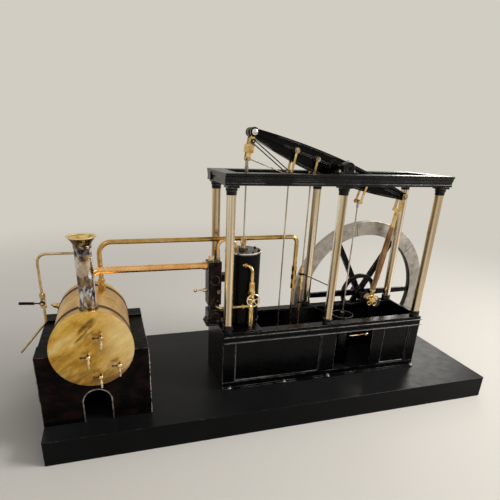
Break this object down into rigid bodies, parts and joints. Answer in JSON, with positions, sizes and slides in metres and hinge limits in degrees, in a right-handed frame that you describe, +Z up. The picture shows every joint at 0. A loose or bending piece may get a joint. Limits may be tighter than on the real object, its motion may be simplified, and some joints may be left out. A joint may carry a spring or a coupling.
{
  "type": "model_beam_engine",
  "caption": "Model beam engine with its boiler: six columns, a rocking beam, flywheel and working valve gear on a plinth",
  "frame": {"origin": "centre of the plinth's underside", "axes": "+X to the flywheel end, +Y to the back, +Z up"},
  "size_m": [0.9363, 0.375, 0.5333],
  "materials": {
    "black_enamel": "gloss",
    "dark_brick": "satin",
    "brass": "brushed",
    "copper": "polished",
    "steel": "brushed",
    "plinth_board": "gloss"
  },
  "bodies": {
    "frame": {"plinth": "plinth_board", "setting_end_walls": "dark_brick", "setting_side_walls": "dark_brick", "fire_arch_trim": "steel", "boiler_shell": "brass", "boiler_end_plates": "brass", "boiler_straps": "black_enamel", "boiler_fittings": "steel", "chimney_tube": "steel", "chimney_fittings": "brass", "drain_pipe": "brass", "water_pipe": "brass", "steam_pipes": "copper", "valve_chest": "black_enamel", "chest_fittings": "steel", "cylinder_barrel": "black_enamel", "cylinder_cover": "steel", "injection_pipe": "brass", "bed_front_rails": "black_enamel", "bed_front_posts": "black_enamel", "bed_front_panels": "black_enamel", "bed_back_wall": "black_enamel", "bed_end_walls": "black_enamel", "deck_plate": "steel", "columns": "steel", "column_fittings": "black_enamel", "entablature_sides": "black_enamel", "entablature_ends": "black_enamel", "shaft_bearings": "black_enamel", "air_pump": "black_enamel", "feed_pumps": "brass", "guide_stays": "black_enamel"},
    "beam": {"beam": "black_enamel", "beam_pins": "brass"},
    "main_link": {"main_link": "brass"},
    "radius_rods": {"radius_rods": "black_enamel"},
    "parallel_bar": {"parallel_bar": "brass"},
    "piston_rod": {"piston_rod": "brass"},
    "injection_pump_link": {"injection_pump_link": "brass"},
    "injection_pump_rod": {"injection_pump_rod": "brass"},
    "feed_pump_link": {"feed_pump_link": "brass"},
    "feed_pump_rod": {"feed_pump_rod": "brass"},
    "air_pump_link": {"air_pump_link": "brass"},
    "air_pump_rod": {"air_pump_rod": "brass"},
    "connecting_rod": {"connecting_rod": "copper", "connecting_rod_ends": "brass"},
    "flywheel": {"crankshaft": "steel", "flywheel_rim": "steel", "flywheel_spokes": "black_enamel", "flywheel_hub": "black_enamel"},
    "drain_lever": {"drain_lever": "black_enamel"},
    "injection_handwheel": {"injection_handwheel": "brass"}
  },
  "joints": [
    {"name": "beam_rock", "type": "hinge", "parent": "frame", "child": "beam", "pos_m": [0.101, -0.0375, 0.471], "axis": [0, 1, 0], "range_deg": [-5.5, 13]},
    {"name": "main_link_swing", "type": "hinge", "parent": "beam", "child": "main_link", "pos_m": [-0.0643, -0.0375, 0.52535], "axis": [0, 1, 0], "range_deg": [-3.74, 8.16]},
    {"name": "parallel_bar_swing", "type": "hinge", "parent": "main_link", "child": "parallel_bar", "pos_m": [-0.072, -0.05, 0.48152], "axis": [0, 1, 0], "range_deg": [-8.75, 3.99]},
    {"name": "radius_rods_swing", "type": "hinge", "parent": "main_link", "child": "radius_rods", "pos_m": [-0.06689, -0.053, 0.51057], "axis": [0, 1, 0], "range_deg": [-9.23, 4.19]},
    {"name": "piston_slide", "type": "slide", "parent": "frame", "child": "piston_rod", "axis": [0, 0, 1], "range_m": [-0.01796, 0.04176]},
    {"name": "injection_link_swing", "type": "hinge", "parent": "beam", "child": "injection_pump_link", "pos_m": [0.0193, -0.0375, 0.49786], "axis": [0, 1, 0], "range_deg": [-3.54, 1.79]},
    {"name": "injection_rod_slide", "type": "slide", "parent": "frame", "child": "injection_pump_rod", "axis": [0, 0, 1], "range_m": [-0.00888, 0.02031]},
    {"name": "feed_link_swing", "type": "hinge", "parent": "beam", "child": "feed_pump_link", "pos_m": [0.06253, -0.0375, 0.48365], "axis": [0, 1, 0], "range_deg": [-7.43, 3.43]},
    {"name": "feed_rod_slide", "type": "slide", "parent": "frame", "child": "feed_pump_rod", "axis": [0, 0, 1], "range_m": [-0.00438, 0.00967]},
    {"name": "air_link_swing", "type": "hinge", "parent": "beam", "child": "air_pump_link", "pos_m": [0.17795, -0.0375, 0.4457], "axis": [0, 1, 0], "range_deg": [-23.64, 10.29]},
    {"name": "air_rod_slide", "type": "slide", "parent": "frame", "child": "air_pump_rod", "axis": [0, 0, 1], "range_m": [-0.01901, 0.00833]},
    {"name": "connecting_rod_swing", "type": "hinge", "parent": "beam", "child": "connecting_rod", "pos_m": [0.2663, -0.0375, 0.41665], "axis": [0, 1, 0], "range_deg": [-13.5, 6]},
    {"name": "flywheel_turn", "type": "hinge", "parent": "frame", "child": "flywheel", "pos_m": [0.257, 0.0495, 0.178], "axis": [0, 1, 0], "continuous": true},
    {"name": "drain_lever_turn", "type": "hinge", "parent": "frame", "child": "drain_lever", "pos_m": [-0.4365, -0.063, 0.242], "axis": [0, 1, 0], "range_deg": [0, 90]},
    {"name": "injection_wheel_turn", "type": "hinge", "parent": "frame", "child": "injection_handwheel", "pos_m": [-0.0655, -0.0925, 0.231], "axis": [0, 1, 0], "continuous": true}
  ],
  "couplings": [
    {"joint": "main_link_swing", "follows": "beam_rock", "ratio": 0.5892},
    {"joint": "parallel_bar_swing", "follows": "beam_rock", "ratio": -0.6345},
    {"joint": "radius_rods_swing", "follows": "beam_rock", "ratio": -0.6715},
    {"joint": "piston_slide", "follows": "beam_rock", "m_per_rad": 0.18186},
    {"joint": "injection_link_swing", "follows": "beam_rock", "ratio": -0.2339},
    {"joint": "injection_rod_slide", "follows": "beam_rock", "m_per_rad": 0.08729},
    {"joint": "feed_link_swing", "follows": "beam_rock", "ratio": -0.5327},
    {"joint": "feed_rod_slide", "follows": "beam_rock", "m_per_rad": 0.04041},
    {"joint": "air_link_swing", "follows": "beam_rock", "ratio": -1.7797},
    {"joint": "air_rod_slide", "follows": "beam_rock", "m_per_rad": -0.0816},
    {"joint": "connecting_rod_swing", "follows": "beam_rock", "ratio": -1}
  ]
}
